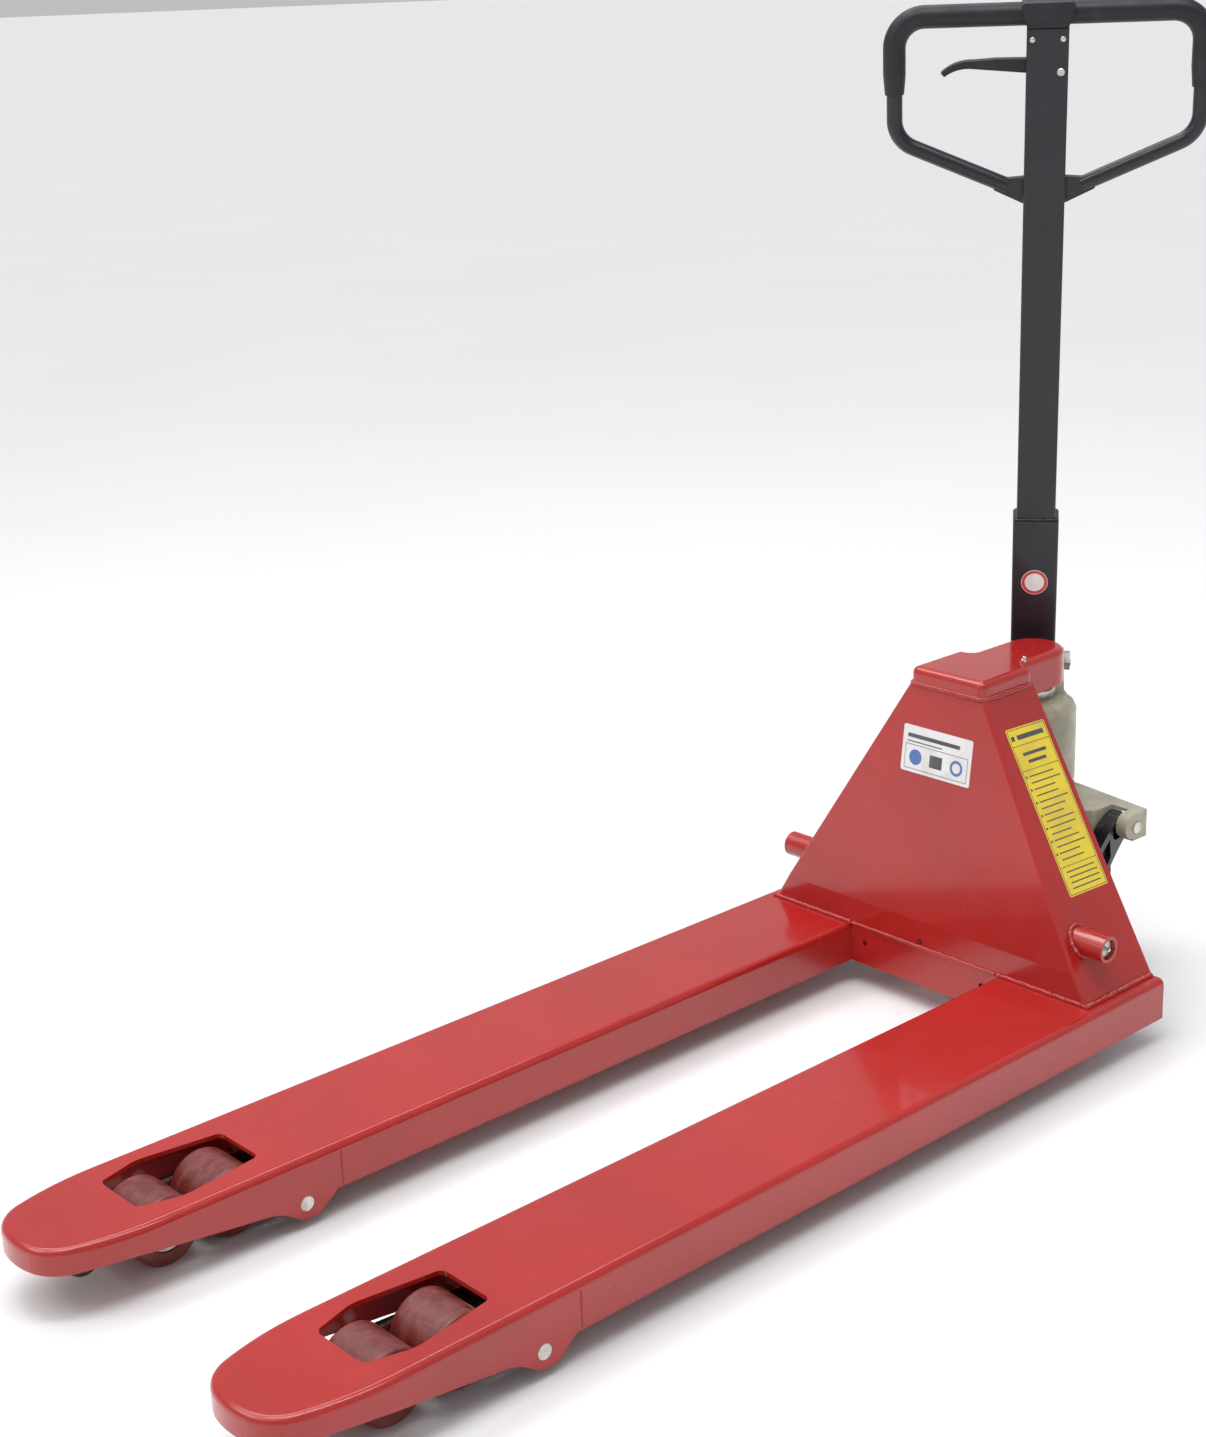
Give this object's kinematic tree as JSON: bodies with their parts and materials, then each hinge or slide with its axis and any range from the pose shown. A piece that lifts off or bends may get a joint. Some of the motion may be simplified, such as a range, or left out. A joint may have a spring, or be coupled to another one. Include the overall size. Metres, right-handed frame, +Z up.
{
  "type": "hand pallet truck",
  "caption": "Hand pallet truck: twin forks on a welded A-frame, hydraulic pump and steering wheels under a loop-topped drawbar.",
  "frame": {"origin": "on the floor under the middle of the truck's overall box, forks lowered", "axes": "+X towards the fork tips, +Y to the left of an operator who faces the forks, +Z up"},
  "size_m": [1.5386, 0.55, 1.2383],
  "materials": {
    "red_enamel": "gloss",
    "black_enamel": "satin",
    "beige_enamel": "satin",
    "black_cast_iron": "satin",
    "zinc_plated_steel": "satin",
    "hard_chrome": "polished",
    "spring_steel": "satin",
    "load_roller_polyurethane": "gloss",
    "entry_roller_polymer": "satin",
    "steer_tyre_rubber": "satin",
    "wheel_hub_cast_iron": "satin",
    "grip_plastic": "matte",
    "label_white": "satin",
    "label_yellow": "satin",
    "label_red_white": "satin",
    "bearing_bronze": "satin"
  },
  "bodies": {
    "yoke": {"yoke": "beige_enamel", "yoke_pins": "zinc_plated_steel", "yoke_bearing": "bearing_bronze"},
    "pump_unit": {"pump_body": "beige_enamel", "filler_plug": "zinc_plated_steel", "gland_nut": "zinc_plated_steel", "handle_pivot_bolt": "zinc_plated_steel", "wheel_axle": "zinc_plated_steel", "plunger_spring": "spring_steel"},
    "steer_wheel_left": {"steer_tyre_left": "steer_tyre_rubber", "steer_hub_left": "wheel_hub_cast_iron"},
    "steer_wheel_right": {"steer_tyre_right": "steer_tyre_rubber", "steer_hub_right": "wheel_hub_cast_iron"},
    "plunger": {"plunger": "hard_chrome"},
    "release_lever": {"release_lever": "zinc_plated_steel"},
    "drawbar": {"handle_base": "black_enamel", "cam_roller": "zinc_plated_steel", "handle_pole": "black_enamel", "handle_loop": "black_enamel", "handle_grip": "grip_plastic", "top_cover": "grip_plastic", "round_label": "label_red_white"},
    "control_lever": {"control_lever": "grip_plastic"},
    "release_rod": {"release_rod": "zinc_plated_steel"},
    "chassis": {"fork_left": "red_enamel", "fork_right": "red_enamel", "fork_nose_left": "red_enamel", "fork_nose_right": "red_enamel", "cross_beam": "red_enamel", "front_plate": "red_enamel", "side_plate_left": "red_enamel", "side_plate_right": "red_enamel", "head_cap": "red_enamel", "lift_ram": "hard_chrome", "shaft_tubes": "red_enamel", "roller_frame_pins": "zinc_plated_steel", "entry_roller_brackets": "red_enamel", "capacity_label": "label_white", "side_label": "label_yellow"},
    "rocker": {"rocker_shaft": "zinc_plated_steel", "rocker_arm_left": "black_cast_iron", "rocker_arm_right": "black_cast_iron", "rod_levers": "black_cast_iron", "rod_lever_pins": "zinc_plated_steel"},
    "roller_frame_left": {"roller_frame_left": "black_cast_iron", "roller_frame_link_pins_left": "zinc_plated_steel"},
    "push_rod_left": {"push_rod_left": "zinc_plated_steel"},
    "bogie_left": {"bogie_plates_left": "zinc_plated_steel", "load_roller_axles_left": "zinc_plated_steel"},
    "load_roller_left_front": {"load_roller_left_front": "load_roller_polyurethane"},
    "load_roller_left_rear": {"load_roller_left_rear": "load_roller_polyurethane"},
    "entry_roller_left": {"entry_roller_left": "entry_roller_polymer"},
    "roller_frame_right": {"roller_frame_right": "black_cast_iron", "roller_frame_link_pins_right": "zinc_plated_steel"},
    "push_rod_right": {"push_rod_right": "zinc_plated_steel"},
    "bogie_right": {"bogie_plates_right": "zinc_plated_steel", "load_roller_axles_right": "zinc_plated_steel"},
    "load_roller_right_front": {"load_roller_right_front": "load_roller_polyurethane"},
    "load_roller_right_rear": {"load_roller_right_rear": "load_roller_polyurethane"},
    "entry_roller_right": {"entry_roller_right": "entry_roller_polymer"}
  },
  "joints": [
    {"name": "steer", "type": "hinge", "parent": "yoke", "child": "pump_unit", "pos_m": [-0.62672, 0, 0.24], "axis": [0, 0, 1], "range_deg": [-133, 57]},
    {"name": "steer_wheel_left_spin", "type": "hinge", "parent": "pump_unit", "child": "steer_wheel_left", "pos_m": [-0.67597, 0.06304, 0.09], "axis": [-0.6157, 0.788, 0], "continuous": true},
    {"name": "steer_wheel_right_spin", "type": "hinge", "parent": "pump_unit", "child": "steer_wheel_right", "pos_m": [-0.57747, -0.06304, 0.09], "axis": [-0.6157, 0.788, 0], "continuous": true},
    {"name": "drawbar_tilt", "type": "hinge", "parent": "pump_unit", "child": "drawbar", "pos_m": [-0.70103, -0.05806, 0.393], "axis": [0.6157, -0.788, 0], "range_deg": [0, 84]},
    {"name": "plunger_stroke", "type": "slide", "parent": "pump_unit", "child": "plunger", "axis": [0, 0, -1], "range_m": [0, 0.027], "deforming": ["plunger_spring"]},
    {"name": "control_lever_pull", "type": "hinge", "parent": "drawbar", "child": "control_lever", "pos_m": [-0.61555, 0.02903, 1.15678], "axis": [-0.7783, -0.6081, 0.1564], "range_deg": [-8, 14], "stiffness_Nm_per_rad": 2},
    {"name": "release_rod_pull", "type": "slide", "parent": "drawbar", "child": "release_rod", "axis": [0.1233, 0.0963, 0.9877], "range_m": [-0.003, 0.005]},
    {"name": "release_lever_turn", "type": "hinge", "parent": "pump_unit", "child": "release_lever", "pos_m": [-0.73906, -0.04462, 0.295], "axis": [-0.6157, 0.788, 0], "range_deg": [-7, 12]},
    {"name": "lift", "type": "slide", "parent": "yoke", "child": "chassis", "axis": [0, 0, 1], "range_m": [0, 0.11]},
    {"name": "rocker_turn", "type": "hinge", "parent": "chassis", "child": "rocker", "pos_m": [-0.44772, 0, 0.15], "axis": [0, -1, 0], "range_deg": [0, 33]},
    {"name": "roller_frame_left_turn", "type": "hinge", "parent": "chassis", "child": "roller_frame_left", "pos_m": [0.46298, 0.1975, 0.03], "axis": [0, 1, 0], "range_deg": [0, 75]},
    {"name": "push_rod_left_turn", "type": "hinge", "parent": "roller_frame_left", "child": "push_rod_left", "pos_m": [0.44044, 0.1875, 0.05959], "axis": [0, 1, 0], "range_deg": [-75, 0]},
    {"name": "bogie_left_turn", "type": "hinge", "parent": "roller_frame_left", "child": "bogie_left", "pos_m": [0.56928, 0.1975, 0.04], "axis": [0, 1, 0], "range_deg": [-75, 0]},
    {"name": "load_roller_left_front_spin", "type": "hinge", "parent": "bogie_left", "child": "load_roller_left_front", "pos_m": [0.61128, 0.1975, 0.04], "axis": [0, 1, 0], "continuous": true},
    {"name": "load_roller_left_rear_spin", "type": "hinge", "parent": "bogie_left", "child": "load_roller_left_rear", "pos_m": [0.52728, 0.1975, 0.04], "axis": [0, 1, 0], "continuous": true},
    {"name": "entry_roller_left_spin", "type": "hinge", "parent": "chassis", "child": "entry_roller_left", "pos_m": [0.70128, 0.1975, 0.04], "axis": [0, 1, 0], "continuous": true},
    {"name": "roller_frame_right_turn", "type": "hinge", "parent": "chassis", "child": "roller_frame_right", "pos_m": [0.46298, -0.1975, 0.03], "axis": [0, 1, 0], "range_deg": [0, 75]},
    {"name": "push_rod_right_turn", "type": "hinge", "parent": "roller_frame_right", "child": "push_rod_right", "pos_m": [0.44044, -0.1875, 0.05959], "axis": [0, 1, 0], "range_deg": [-75, 0]},
    {"name": "bogie_right_turn", "type": "hinge", "parent": "roller_frame_right", "child": "bogie_right", "pos_m": [0.56928, -0.1975, 0.04], "axis": [0, 1, 0], "range_deg": [-75, 0]},
    {"name": "load_roller_right_front_spin", "type": "hinge", "parent": "bogie_right", "child": "load_roller_right_front", "pos_m": [0.61128, -0.1975, 0.04], "axis": [0, 1, 0], "continuous": true},
    {"name": "load_roller_right_rear_spin", "type": "hinge", "parent": "bogie_right", "child": "load_roller_right_rear", "pos_m": [0.52728, -0.1975, 0.04], "axis": [0, 1, 0], "continuous": true},
    {"name": "entry_roller_right_spin", "type": "hinge", "parent": "chassis", "child": "entry_roller_right", "pos_m": [0.70128, -0.1975, 0.04], "axis": [0, 1, 0], "continuous": true}
  ],
  "couplings": [
    {"joint": "plunger_stroke", "follows": "drawbar_tilt", "m_per_rad": 0.018},
    {"joint": "release_rod_pull", "follows": "control_lever_pull", "m_per_rad": 0.016},
    {"joint": "release_lever_turn", "follows": "control_lever_pull", "ratio": 0.8},
    {"joint": "rocker_turn", "follows": "lift", "rad_per_m": 5.217},
    {"joint": "roller_frame_left_turn", "follows": "lift", "rad_per_m": 11.879},
    {"joint": "push_rod_left_turn", "follows": "lift", "rad_per_m": -11.879},
    {"joint": "bogie_left_turn", "follows": "lift", "rad_per_m": -11.879},
    {"joint": "roller_frame_right_turn", "follows": "lift", "rad_per_m": 11.879},
    {"joint": "push_rod_right_turn", "follows": "lift", "rad_per_m": -11.879},
    {"joint": "bogie_right_turn", "follows": "lift", "rad_per_m": -11.879}
  ]
}
